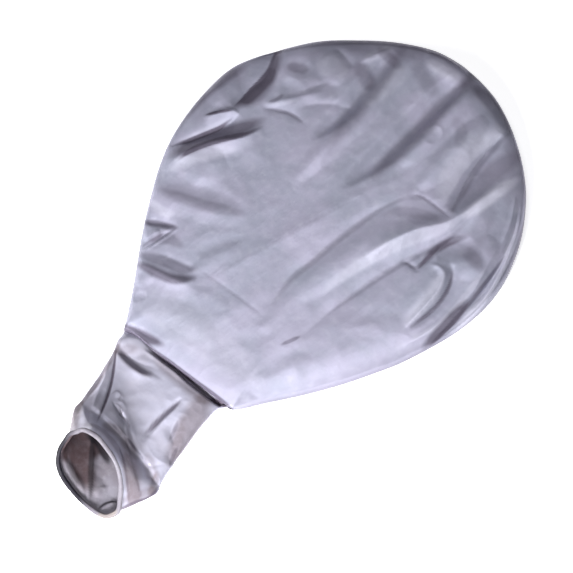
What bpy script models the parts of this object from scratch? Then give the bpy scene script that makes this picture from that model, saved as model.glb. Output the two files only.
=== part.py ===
# A giant latex balloon, empty and lying on its side on a floor.
#
# The long axis runs along Y: the crown is at +Y and the open mouth at -Y. X is across and Z is up.
# The origin is on the floor, under the middle of the balloon's length. All sizes are in metres.
# The skin is one seamless film on the real thing. Here it is split where it lies folded flat, into
# an upper and a lower wall, and where the bag ends and the neck begins.
import math

import bmesh
import bpy
from mathutils import Matrix, Vector

# Driving dimensions
BAG_LENGTH = 0.855
BAG_HALF_WIDTH = 0.3535
WALL = 0.002
JOINT_GAP = 0.0003
CURVE_LEVELS = 1

# The lip is where the bag ends and the skin doubles back over the neck. The heights are those of the
# skin's outer side: on the lip, and on the side fold, where the bag's two walls meet.
LIP_Y = -0.2625
LIP_HEIGHT = 0.0355
SIDE_FOLD_HEIGHT = 0.016

# The bag's outline, one half, from the crown round to the middle of the lip. Across is a share of the
# half width and along is a share of the length from the lip. The rim is the height of the upper
# wall's edge and the floor rim that of the lower wall's edge.
#    across  along   rim               floor rim
BAG_OUTLINE = [
    (0.000, 1.000, SIDE_FOLD_HEIGHT, SIDE_FOLD_HEIGHT),
    (0.240, 0.986, SIDE_FOLD_HEIGHT, SIDE_FOLD_HEIGHT),
    (0.452, 0.941, SIDE_FOLD_HEIGHT, SIDE_FOLD_HEIGHT),
    (0.637, 0.879, SIDE_FOLD_HEIGHT, SIDE_FOLD_HEIGHT),
    (0.790, 0.808, SIDE_FOLD_HEIGHT, SIDE_FOLD_HEIGHT),
    (0.904, 0.735, SIDE_FOLD_HEIGHT, SIDE_FOLD_HEIGHT),
    (0.975, 0.660, SIDE_FOLD_HEIGHT, SIDE_FOLD_HEIGHT),
    (1.000, 0.567, SIDE_FOLD_HEIGHT, SIDE_FOLD_HEIGHT),
    (0.982, 0.473, SIDE_FOLD_HEIGHT, SIDE_FOLD_HEIGHT),
    (0.918, 0.380, SIDE_FOLD_HEIGHT, SIDE_FOLD_HEIGHT),
    (0.813, 0.286, SIDE_FOLD_HEIGHT, SIDE_FOLD_HEIGHT),
    (0.681, 0.192, SIDE_FOLD_HEIGHT, SIDE_FOLD_HEIGHT),
    (0.534, 0.099, SIDE_FOLD_HEIGHT, SIDE_FOLD_HEIGHT),
    (0.425, 0.032, 0.018, 0.012),
    (0.357, 0.000, 0.028, 0.004),
    (0.283, 0.000, LIP_HEIGHT, 0.0),
    (0.142, 0.000, LIP_HEIGHT, 0.0),
    (0.000, 0.000, LIP_HEIGHT, 0.0),
]
BAG_CENTRE = Vector((0.0, 0.200, 0.0))
BAG_SMOOTHING_LOSS = 0.006
# The bag's rings, from its middle out to the side fold: share of the outline, height.
UPPER_RINGS = [
    (0.14, 0.046),
    (0.28, 0.046),
    (0.42, 0.046),
    (0.55, 0.0455),
    (0.67, 0.045),
    (0.78, 0.044),
    (0.88, 0.042),
    (0.955, 0.039),
    (1.0, 0.030),
    (1.0, 0.016),
]
LIP_RUN_UP = (0.975, 0.0008)
LOWER_RINGS = [(0.40, 0.0), (0.75, 0.0), (0.93, 0.0), (0.985, 0.0), (1.0, 0.007), (1.0, 0.016)]

# The main folds of the bag's upper wall. A height above zero is a ridge, and one below is a valley.
# They fade out where the wall comes down to the lip and the side fold.
#    start x  start y   end x   end y   half width  height
BAG_FOLDS = [
    (0.017, 0.545, -0.008, 0.235, 0.040, -0.0045),
    (0.060, 0.530, 0.050, 0.340, 0.034, 0.0045),
    (-0.078, 0.510, -0.080, 0.190, 0.040, 0.0045),
    (-0.132, 0.490, -0.124, 0.290, 0.034, -0.0045),
    (0.104, 0.500, 0.103, 0.330, 0.032, 0.0040),
    (0.152, 0.480, 0.182, 0.325, 0.034, -0.0045),
    (0.216, 0.425, 0.158, 0.245, 0.036, 0.0050),
    (0.178, 0.270, 0.086, 0.005, 0.038, 0.0050),
    (0.214, 0.330, 0.143, -0.005, 0.032, -0.0045),
    (0.104, 0.270, 0.054, -0.090, 0.032, -0.0040),
    (-0.293, 0.345, -0.281, 0.235, 0.030, -0.0045),
    (-0.312, 0.095, -0.265, 0.205, 0.030, -0.0045),
    (-0.280, 0.045, -0.212, 0.215, 0.030, 0.0045),
    (0.318, 0.290, 0.300, 0.050, 0.026, -0.0045),
    (0.276, 0.310, 0.279, 0.215, 0.030, 0.0045),
    (0.247, 0.220, 0.278, 0.085, 0.028, -0.0045),
]
FOLDS_END_HEIGHT = 0.037
FOLDS_FULL_HEIGHT = 0.043

# The mouth: an oval hoop that leans back towards the bag and is rolled to its right.
MOUTH_CENTRE = Vector((0.029, -0.543, 0.0635))
MOUTH_HALF_LENGTH = 0.087
MOUTH_HALF_WIDTH = 0.068
MOUTH_TILT = math.radians(37.5)
MOUTH_ROLL = math.radians(32.3)
MOUTH_COLLAR = 0.018
BEAD_RADIUS = 0.0045
BEAD_SIDES = 8
BEAD_SEGMENTS = 64

# The pleat at the lip, where the skin doubles back: a band bent into a Z. Its upper leg ends the
# bag's upper wall, its lower leg begins the neck's.
PLEAT_HALF_SPAN = 0.090
PLEAT_BACK = -0.236
PLEAT_LEG_SPACING = 0.006
PLEAT_BEND_STEPS = 8

# The neck's sections from inside the bag to the mouth. Along, across and up place the middle of the
# section. The lean turns it from lying flat (0) to the mouth's own plane (1).
#    along   across  up     half width  rise   drop   lean
NECK_SECTIONS = [
    (-0.2363, -0.006, 0.013, 0.098, 0.0105, 0.013, 0.0),
    (-0.272, -0.009, 0.014, 0.1135, 0.0095, 0.014, 0.0),
    (-0.330, -0.005, 0.015, 0.111, 0.015, 0.015, 0.0),
    (-0.390, 0.004, 0.020, 0.110, 0.026, 0.020, 0.05),
    (-0.445, 0.013, 0.026, 0.105, 0.026, 0.026, 0.25),
    (-0.490, 0.022, 0.044, 0.096, 0.040, 0.048, 0.75),
]
# Half of a section from its left fold over to its right fold, flat as in the neck and round as in
# the mouth. Each starts and ends upright, so that the two walls meet squarely.
#    across  rise    across  rise
HALF_SECTION = [
    (-1.00, 0.00, -1.00, 0.00),
    (-1.00, 0.62, -1.00, 0.30),
    (-0.84, 0.97, -0.80, 0.70),
    (-0.42, 1.00, -0.42, 0.95),
    (0.00, 1.00, 0.00, 1.02),
    (0.42, 1.00, 0.42, 0.95),
    (0.84, 0.97, 0.80, 0.70),
    (1.00, 0.62, 1.00, 0.30),
    (1.00, 0.00, 1.00, 0.00),
]
SECTION_STEPS = len(HALF_SECTION) - 1

SILVER_SKIN = (0.42, 0.41, 0.50)
BEAD_GREY = (0.30, 0.28, 0.34)


def clear_scene():
    for obj in list(bpy.data.objects):
        bpy.data.objects.remove(obj)


def latex(name, colour):
    """Satin silver latex: a little metallic, neither glossy nor matt."""
    material = bpy.data.materials.new(name)
    material.use_nodes = True
    shader = material.node_tree.nodes["Principled BSDF"]
    shader.inputs["Base Color"].default_value = (*colour, 1.0)
    shader.inputs["Roughness"].default_value = 0.42
    shader.inputs["Metallic"].default_value = 0.35
    return material


def add_object(name, data, collection, material):
    obj = bpy.data.objects.new(name, data)
    data.materials.append(material)
    collection.objects.link(obj)
    return obj


def smooth_skin(name, mesh, collection, material, folds=()):
    """A coarse cage as a smooth sheet of the wall's thickness, which lies inside the cage's surface."""
    obj = add_object(name, mesh, collection, material)
    mesh.shade_smooth()
    curve = obj.modifiers.new("curve", "SUBSURF")
    curve.levels = CURVE_LEVELS
    curve.render_levels = CURVE_LEVELS
    if folds:
        press_folds(obj, folds)
    wall = obj.modifiers.new("wall", "SOLIDIFY")
    wall.thickness = WALL
    wall.offset = -1.0
    wall.use_even_offset = True
    return obj


def press_folds(obj, folds):
    """Take the smoothed sheet as the object's own mesh, and raise or lower it along each fold."""
    smoothed = obj.evaluated_get(bpy.context.evaluated_depsgraph_get())
    mesh = bpy.data.meshes.new_from_object(smoothed)
    obj.modifiers.clear()
    obj.data = mesh
    for vertex in mesh.vertices:
        place = vertex.co.copy()
        inside = (place.z - FOLDS_END_HEIGHT) / (FOLDS_FULL_HEIGHT - FOLDS_END_HEIGHT)
        strength = max(0.0, min(1.0, inside))
        for start_x, start_y, end_x, end_y, half_width, height in folds:
            start = Vector((start_x, start_y))
            run = Vector((end_x, end_y)) - start
            offset = place.xy - start
            share = max(0.0, min(1.0, offset.dot(run) / run.length_squared))
            nearness = max(0.0, 1.0 - ((offset - run * share).length / half_width) ** 2)
            vertex.co.z += strength * height * nearness**2


def outline_loop():
    """The whole outline, anticlockwise seen from above, starting at the crown."""
    right = []
    for across, along, rim, floor_rim in BAG_OUTLINE:
        right.append((across * BAG_HALF_WIDTH, LIP_Y + along * BAG_LENGTH, rim, floor_rim))
    left = [(-x, y, rim, floor_rim) for x, y, rim, floor_rim in right]
    return left + right[-2:0:-1]


def upper_place(point, ring):
    """A cage vertex of the upper wall, on the given ring, or at the middle if there is none."""
    x, y, rim, _ = point
    if ring is None:
        return BAG_CENTRE + Vector((0.0, 0.0, UPPER_RINGS[0][1]))
    share, height = UPPER_RINGS[ring]
    edge = len(UPPER_RINGS) - 1
    on_lip = rim == LIP_HEIGHT
    if ring == edge:
        height = rim if on_lip else rim + JOINT_GAP
    elif ring == edge - 1 and on_lip:
        share, height = LIP_RUN_UP[0], LIP_HEIGHT + LIP_RUN_UP[1]
    else:
        height = max(height, rim + 0.003)
    place = ring_place(x, y, share)
    place.z = height
    return place


def lower_place(point, ring):
    """The same for the lower wall, which lies on the floor up to its turned-up edge."""
    x, y, _, floor_rim = point
    if ring is None:
        return BAG_CENTRE.copy()
    share, height = LOWER_RINGS[ring]
    place = ring_place(x, y, share)
    place.z = floor_rim if ring == len(LOWER_RINGS) - 1 else min(height, floor_rim)
    return place


def ring_place(x, y, share):
    """A point of the outline drawn in towards the bag's centre, allowing for what smoothing takes off."""
    outer = BAG_CENTRE + (Vector((x, y, 0.0)) - BAG_CENTRE) * (1.0 + BAG_SMOOTHING_LOSS)
    outer.y = max(outer.y, LIP_Y)
    return BAG_CENTRE + (outer - BAG_CENTRE) * share


def bag_wall(name, side, rings, place_of, collection, material, folds=()):
    """One wall of the bag, from half a globe whose rings of latitude are moved onto the bag's rings.

    side is 1 for the upper wall and -1 for the lower one.
    """
    loop = outline_loop()
    segments = len(loop)
    rows = len(rings)
    globe = bmesh.new()
    bmesh.ops.create_uvsphere(globe, u_segments=segments, v_segments=2 * rows, radius=1.0)
    beyond = [v for v in globe.verts if v.co.z * side < -0.001]
    bmesh.ops.delete(globe, geom=beyond, context="VERTS")
    for vertex in globe.verts:
        latitude = math.asin(max(-1.0, min(1.0, vertex.co.z * side)))
        ring = rows - 1 - round(latitude / (math.pi / 2) * rows)
        longitude = math.atan2(-vertex.co.x, vertex.co.y)
        point = loop[round(longitude / math.tau * segments) % segments]
        vertex.co = place_of(point, ring if ring >= 0 else None)
    mesh = bpy.data.meshes.new(name)
    globe.to_mesh(mesh)
    globe.free()
    return smooth_skin(name, mesh, collection, material, folds)


def mouth_axes():
    """The mouth's own directions: along its longer way, along its shorter way, and out of it."""
    flat_up = Vector((0.0, math.sin(MOUTH_TILT), math.cos(MOUTH_TILT)))
    right = Vector((1.0, 0.0, 0.0))
    across = right * math.cos(MOUTH_ROLL) - flat_up * math.sin(MOUTH_ROLL)
    up = right * math.sin(MOUTH_ROLL) + flat_up * math.cos(MOUTH_ROLL)
    return across, up, across.cross(up)


def neck_sections():
    """Each section as its middle, its half width and its rise and drop as vectors, and its lean."""
    across, up, out = mouth_axes()
    made = []
    for y, x, z, half_width, rise, drop, lean in NECK_SECTIONS:
        wide = Vector((1.0, 0.0, 0.0)).lerp(across, lean).normalized()
        high = Vector((0.0, 0.0, 1.0)).lerp(up, lean).normalized()
        made.append((Vector((x, y, z)), wide * half_width, high * rise, high * drop, lean))
    seat = MOUTH_CENTRE - out * (BEAD_RADIUS + 6 * JOINT_GAP)
    for middle in (seat - out * MOUTH_COLLAR, seat):
        made.append((middle, across * MOUTH_HALF_LENGTH, up * MOUTH_HALF_WIDTH, up * MOUTH_HALF_WIDTH, 1.0))
    return made


def section_share(step, lean):
    """A point of a half section: between the flat shape and the round one."""
    flat_across, flat_rise, round_across, round_rise = HALF_SECTION[step]
    return (
        flat_across * (1 - lean) + round_across * lean,
        flat_rise * (1 - lean) + round_rise * lean,
    )


def neck_wall(name, side, first, start, collection, material):
    """One wall of the neck, a flat grid bent over the sections. side is 1 above and -1 below.

    first is the section that it begins at, and start is where along the neck its edge is put.
    """
    sections = neck_sections()[first:]
    grid = bmesh.new()
    rows = len(sections) - 1
    bmesh.ops.create_grid(grid, x_segments=rows, y_segments=SECTION_STEPS, size=1.0)
    for vertex in grid.verts:
        row = round((vertex.co.x + 1) / 2 * rows)
        step = round((vertex.co.y * side + 1) / 2 * SECTION_STEPS)
        middle, wide, rise, drop, lean = sections[row]
        across, height = section_share(step, lean)
        place = middle + wide * across + (rise if side > 0 else -drop) * height
        if row == 0:
            place.y = start
        if side > 0:
            place += rise.normalized() * 2 * JOINT_GAP
        vertex.co = (place.x, place.y, max(place.z, 0.0))
    mesh = bpy.data.meshes.new(name)
    grid.to_mesh(mesh)
    grid.free()
    return smooth_skin(name, mesh, collection, material)


def bead_profile(collection):
    """The rolled bead's section: an octagon with one flat to the front, along which an edge can seat."""
    curve = bpy.data.curves.new("bead_profile", "CURVE")
    spline = curve.splines.new("POLY")
    spline.points.add(BEAD_SIDES - 1)
    corner_radius = BEAD_RADIUS / math.cos(math.pi / BEAD_SIDES)
    for corner, point in enumerate(spline.points):
        angle = -math.tau * (corner + 0.5) / BEAD_SIDES
        point.co = (corner_radius * math.cos(angle), corner_radius * math.sin(angle), 0.0, 1.0)
    spline.use_cyclic_u = True
    guide = bpy.data.objects.new("bead_profile", curve)
    guide.hide_render = True
    guide.display_type = "WIRE"
    collection.objects.link(guide)
    return guide


def mouth_bead(collection, guides, material):
    """The rolled bead round the mouth: an oval of round section in the mouth's plane."""
    curve = bpy.data.curves.new("mouth_bead", "CURVE")
    curve.dimensions = "3D"
    spline = curve.splines.new("POLY")
    spline.points.add(BEAD_SEGMENTS - 1)
    for step, point in enumerate(spline.points):
        angle = math.tau * step / BEAD_SEGMENTS
        point.co = (MOUTH_HALF_LENGTH * math.cos(angle), MOUTH_HALF_WIDTH * math.sin(angle), 0.0, 1.0)
    spline.use_cyclic_u = True
    curve.bevel_mode = "OBJECT"
    curve.bevel_object = bead_profile(guides)
    bead = add_object("mouth_bead", curve, collection, material)
    across, up, out = mouth_axes()
    turned = Matrix((across, up, out)).transposed().to_4x4()
    bead.matrix_world = Matrix.Translation(MOUTH_CENTRE) @ turned
    return bead


def half_turn(y, z, radius, bulge):
    """A half circle from its top to its bottom. It bulges towards the mouth (-1) or the crown (1)."""
    turns = [math.pi * (step / PLEAT_BEND_STEPS - 0.5) for step in range(PLEAT_BEND_STEPS + 1)]
    return [(y + bulge * radius * math.cos(turn), z - radius * math.sin(turn)) for turn in turns]


def shoulder_pleat(collection, material):
    """The doubled-back skin at the lip: a Z of wall thickness, drawn on its side and drawn out."""
    front = LIP_Y - JOINT_GAP
    bend = PLEAT_LEG_SPACING / 2
    half_wall = WALL / 2
    front_middle = LIP_HEIGHT - half_wall - bend
    back_middle = front_middle - PLEAT_LEG_SPACING
    over = half_turn(front, front_middle, bend + half_wall, -1)
    over += half_turn(PLEAT_BACK, back_middle, bend - half_wall, 1)
    under = half_turn(front, front_middle, bend - half_wall, -1)
    under += half_turn(PLEAT_BACK, back_middle, bend + half_wall, 1)
    corners = over + under[::-1]
    curve = bpy.data.curves.new("shoulder_pleat", "CURVE")
    curve.dimensions = "2D"
    curve.fill_mode = "BOTH"
    curve.extrude = PLEAT_HALF_SPAN
    spline = curve.splines.new("POLY")
    spline.points.add(len(corners) - 1)
    for point, (y, z) in zip(spline.points, corners):
        point.co = (y, z, 0.0, 1.0)
    spline.use_cyclic_u = True
    pleat = add_object("shoulder_pleat", curve, collection, material)
    pleat.rotation_euler = (math.pi / 2, 0.0, math.pi / 2)
    return pleat


def main():
    clear_scene()
    balloon = bpy.data.collections.new("giant_latex_balloon")
    guides = bpy.data.collections.new("guides")
    bpy.context.scene.collection.children.link(balloon)
    bpy.context.scene.collection.children.link(guides)
    skin = latex("silver_latex", SILVER_SKIN)
    rolled = latex("rolled_latex", BEAD_GREY)
    bag_wall("envelope_upper_wall", 1, UPPER_RINGS, upper_place, balloon, skin, BAG_FOLDS)
    bag_wall("envelope_lower_wall", -1, LOWER_RINGS, lower_place, balloon, skin)
    shoulder_pleat(balloon, skin)
    neck_wall("neck_upper_wall", 1, 0, PLEAT_BACK - JOINT_GAP, balloon, skin)
    neck_wall("neck_lower_wall", -1, 1, LIP_Y - 2 * JOINT_GAP, balloon, skin)
    mouth_bead(balloon, guides, rolled)


main()
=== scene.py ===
# %% [markdown]
# # A giant latex balloon, lying empty on the floor
#
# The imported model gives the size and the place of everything. This script dresses it: a bag skin
# with its folds, a neck that ends in a standing mouth, a rolled bead, and the latex itself.

import math

import bpy
import numpy as np
from mathutils import Matrix, Vector, noise


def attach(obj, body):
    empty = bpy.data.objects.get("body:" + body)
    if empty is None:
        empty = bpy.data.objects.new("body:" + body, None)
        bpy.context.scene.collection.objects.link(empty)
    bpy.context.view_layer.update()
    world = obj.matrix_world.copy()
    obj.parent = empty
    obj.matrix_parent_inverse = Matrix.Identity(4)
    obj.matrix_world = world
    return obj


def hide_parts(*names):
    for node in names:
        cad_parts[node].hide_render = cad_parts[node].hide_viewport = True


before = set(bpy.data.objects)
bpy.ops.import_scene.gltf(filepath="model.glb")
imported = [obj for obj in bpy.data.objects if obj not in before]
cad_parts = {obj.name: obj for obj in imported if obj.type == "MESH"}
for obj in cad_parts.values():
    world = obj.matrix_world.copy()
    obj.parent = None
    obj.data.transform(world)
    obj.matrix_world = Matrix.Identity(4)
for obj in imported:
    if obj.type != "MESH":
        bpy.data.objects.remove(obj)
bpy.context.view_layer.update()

# %% [markdown]
# ## The camera comes first
#
# The folds are placed by where they lie in the photograph, so the camera that took it has to be
# known before any of them is made. The bag's outline is symmetric about its long axis only when it
# is seen from about 62 degrees above the floor, and that gives the elevation.

# %% Set up the photograph's camera
PHOTO_PIXELS = 573
AZIMUTH = math.radians(40.0)
ELEVATION = math.radians(61.6)
LENS_MM = 270.0
SENSOR_MM = 36.0
DISTANCE = 8.04
AIM = np.array((0.040, -0.0005, 0.020))
PIXELS_PER_SLOPE = LENS_MM / SENSOR_MM * PHOTO_PIXELS
MIDDLE = PHOTO_PIXELS / 2

look = np.array((
    -math.sin(AZIMUTH) * math.cos(ELEVATION),
    math.cos(AZIMUTH) * math.cos(ELEVATION),
    -math.sin(ELEVATION),
))
rightward = np.array((math.cos(AZIMUTH), math.sin(AZIMUTH), 0.0))
upward = np.cross(rightward, look)
eye = AIM - look * DISTANCE


def add_object(name, data):
    thing = bpy.data.objects.new(name, data)
    bpy.context.scene.collection.objects.link(thing)
    return thing


camera_data = bpy.data.cameras.new("camera")
camera_data.lens = LENS_MM
camera_data.sensor_width = SENSOR_MM
camera_data.clip_end = 50.0
camera = add_object("camera", camera_data)
turned = Matrix((rightward, upward, -look)).transposed().to_4x4()
camera.matrix_world = Matrix.Translation(eye) @ turned
bpy.context.scene.camera = camera
print("the camera stands at", eye.round(2))


# %% [markdown]
# Helpers go between the picture and the room. One says where a point in the room lands in the
# picture. The others follow a pixel's line of sight to a plane, or down to a height.

# %% Go from the room to the picture and back
def to_picture(points):
    offset = points - eye
    depth = offset @ look
    across = MIDDLE + PIXELS_PER_SLOPE * (offset @ rightward) / depth
    down = MIDDLE - PIXELS_PER_SLOPE * (offset @ upward) / depth
    return np.stack((across, down), axis=-1)


def sight_lines(pixels):
    """The way from the eye through each pixel, to a depth of 1."""
    slopes = (np.atleast_2d(pixels) - MIDDLE) / PIXELS_PER_SLOPE
    return look + slopes[:, :1] * rightward - slopes[:, 1:] * upward


def onto_plane(pixels, point, normal):
    rays = sight_lines(pixels)
    reach = ((point - eye) @ normal) / (rays @ normal)
    return eye + rays * reach[:, None]


def at_height(pixels, height):
    """Where the lines of sight come down to a height, one for all or one each."""
    rays = sight_lines(pixels)
    return eye + rays * ((height - eye[2]) / rays[:, 2])[:, None]


print("the picture's middle looks at", at_height((MIDDLE, MIDDLE), AIM[2]).round(3))


# %% [markdown]
# Curves through a few named points give every long line of the balloon. The same spline serves for
# closed outlines and for the open paths of the folds.

# %% Draw smooth curves through points
def unit(values):
    """The values, held between 0 and 1."""
    return np.clip(values, 0.0, 1.0)


def spline_through(points, steps, closed=False):
    """A smooth curve that meets each point, with some steps from each to the next."""
    points = np.asarray(points, float)
    if closed:
        lead_in, run_out = points[-1:], points[:2]
    else:
        lead_in, run_out = 2 * points[:1] - points[1:2], 2 * points[-1:] - points[-2:-1]
    padded = np.concatenate((lead_in, points, run_out))
    before, start, end, after = padded[:-3], padded[1:-2], padded[2:-1], padded[3:]
    t = (np.arange(steps) / steps)[:, None, None]
    curve = 0.5 * (
        2 * start
        + (end - before) * t
        + (2 * before - 5 * start + 4 * end - after) * t**2
        + (3 * start - before - 3 * end + after) * t**3
    )
    curve = np.swapaxes(curve, 0, 1).reshape(-1, points.shape[1])
    return curve if closed else np.concatenate((curve, points[-1:]))


print("a curve through 4 points has", len(spline_through(np.eye(4)[:, :2], 8)), "points")

# %% [markdown]
# ## The bag's outline
#
# These pixels run round the bag's edge in the photograph, clockwise from the crown. Most lie at
# the height of the side fold. On the lip, where the skin doubles back over the neck, a third number
# gives the height in millimetres. So each gives one point of the room.

# %% Lay the bag's outline in the room
#    across  down  height
BAG_OUTLINE = [
    (357, 42), (395, 44), (430, 51), (452, 61), (472, 75), (494, 98), (508, 122), (517, 145),
    (523, 168), (526, 192), (525, 216), (521, 240), (513, 264), (501, 288), (481, 312),
    (450, 336), (406, 360), (376, 372), (341, 384), (300, 395), (262, 403), (247, 407, 18),
    (238, 409, 24), (231, 408, 31), (215, 397, 32), (190, 378, 32), (165, 359, 32),
    (148, 346, 31), (138, 338, 27), (130, 334, 21), (124, 331, 17), (126, 322), (128, 313),
    (133, 288), (137, 264), (141, 240), (146, 216), (152, 192), (159, 168), (169, 144),
    (183, 121), (202, 97), (227, 73), (250, 61), (283, 51), (320, 43),
]
SIDE_FOLD = 0.016
LIP_HEIGHT = 0.032
CENTRE = np.array((0.0, 0.190))
OUTLINE_STEPS = 16

outline_table = np.array([(*spot, 1000 * SIDE_FOLD)[:3] for spot in BAG_OUTLINE])
corners = at_height(outline_table[:, :2], outline_table[:, 2] / 1000)
outline = spline_through(corners, OUTLINE_STEPS, closed=True)
arms_x, arms_y = (outline[:, :2] - CENTRE).T
outline_angles, outline_reach = np.arctan2(arms_y, arms_x), np.hypot(arms_x, arms_y)


def edge_radius(angle):
    """How far the outline is from the bag's centre, at any angle."""
    return np.interp(angle, outline_angles, outline_reach, period=math.tau)


def edge_height(angle):
    return np.interp(angle, outline_angles, outline[:, 2], period=math.tau)


def lip_share(angle):
    """1 on the lip and 0 on the side fold."""
    return unit((edge_height(angle) - SIDE_FOLD) / (LIP_HEIGHT - SIDE_FOLD))


print("the bag is", np.ptp(outline[:, 0]).round(3), "m wide")

# %% [markdown]
# ## The folds, as strokes
#
# Each fold is a stroke along its path in the photograph. Its height is in millimetres: a ridge is
# above zero and a valley below. Left and right are how far it spreads, in pixels, for someone who
# walks along it. The light comes from the bottom of the picture, so what falls away towards it is
# bright and what rises is dark: a line between bright above and dark below is a valley.

# %% List the crisp folds of the bag
#   height left right path
CRISP_FOLDS = [
    (-9.0, 11, 22, (279, 42), (275, 54), (270, 67), (263, 77), (252, 86), (242, 96), (233, 106)),
    (4.0, 4, 13, (203, 117), (212, 115), (224, 111), (233, 111), (239, 114)),
    (-9.0, 15, 12, (168, 145), (176, 144), (186, 141), (201, 135), (217, 129), (232, 121), (239, 114)),
    (7.5, 11, 18, (164, 172), (172, 162), (189, 151), (212, 143), (240, 139), (264, 128)),
    (2.3, 6, 9, (264, 104), (280, 101), (300, 97), (322, 92)),
    (-2.4, 8, 9, (263, 108), (276, 110), (290, 113), (303, 122)),
    (-5.0, 11, 8, (143, 221), (155, 222), (165, 223), (177, 226)),
    (3.2, 5, 5, (143, 240), (151, 235), (160, 230)),
    (-2.8, 3, 3, (140, 250), (151, 244), (162, 236), (176, 227)),
    (1.6, 3, 3, (142, 252), (152, 246), (163, 239), (175, 231)),
    (-1.8, 4, 4, (150, 249), (161, 242), (173, 234), (180, 229)),
    (-1.0, 6, 3, (158, 253), (168, 257), (180, 262), (191, 268)),
    (5.0, 12, 14, (136, 262), (148, 268), (160, 274), (172, 280), (184, 283), (196, 279)),
    (-1.2, 8, 6, (188, 270), (192, 266), (200, 258)),
    (-0.5, 4, 4, (200, 270), (220, 284), (244, 301), (264, 316)),
    (1.4, 12, 14, (206, 280), (240, 259), (282, 237), (324, 213), (358, 196), (388, 182), (409, 175)),
    (-4.6, 20, 14, (410, 195), (376, 210), (335, 241), (310, 262), (291, 276), (272, 302), (258, 326)),
    (-5.4, 20, 13, (478, 208), (446, 238), (405, 260), (377, 277), (350, 296), (326, 314), (300, 338)),
    (9.5, 20, 18, (512, 178), (503, 187), (484, 200), (463, 216), (442, 226), (416, 233),
     (390, 244), (366, 257)),
    (-10.5, 20, 15, (502, 134), (492, 146), (484, 156), (471, 173), (462, 191), (452, 213)),
    (-1.6, 5, 16, (408, 195), (419, 197), (428, 201), (437, 208), (445, 216), (453, 219)),
    (-2.4, 6, 5, (400, 261), (409, 262), (417, 269), (424, 262), (432, 255)),
    (5.0, 9, 7, (430, 264), (440, 268), (444, 277), (438, 291), (425, 307), (406, 327)),
    (-5.5, 8, 10, (450, 262), (453, 274), (449, 289), (440, 303), (428, 314), (409, 328)),
    (5.5, 9, 8, (497, 250), (487, 268), (473, 293), (459, 309), (443, 322), (424, 336), (402, 347)),
    (-8.5, 9, 9, (509, 252), (495, 273), (483, 291), (470, 304), (454, 320), (441, 334), (423, 352)),
    (6.0, 9, 7, (514, 257), (504, 277), (492, 295), (476, 315), (458, 331), (442, 342)),
    (3.0, 5, 5, (524, 188), (522, 215), (514, 243), (500, 272), (484, 300), (466, 323)),
    (-2.6, 4, 4, (519, 206), (514, 232), (504, 256), (492, 278), (478, 300)),
    (2.4, 5, 5, (516, 196), (511, 222), (502, 244)),
    (-0.8, 3, 5, (283, 344), (289, 343), (296, 340)),
    (-1.0, 4, 6, (248, 392), (255, 396), (262, 401)),
    (-2.0, 6, 6, (118, 325), (127, 326), (137, 330), (148, 336), (160, 342)),
    (-1.8, 6, 9, (302, 107), (316, 104), (335, 104), (354, 106)),
    (-1.4, 6, 7, (300, 92), (312, 87), (331, 82)),
    (-1.8, 6, 9, (336, 48), (346, 57), (354, 68)),
    (3.0, 8, 8, (360, 62), (372, 57), (390, 49)),
    (1.4, 5, 6, (391, 363), (402, 357), (414, 350)),
    (0.8, 3, 3, (422, 141), (431, 145), (440, 140), (442, 132), (435, 127), (427, 131)),
]
print(len(CRISP_FOLDS), "crisp folds")

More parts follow.
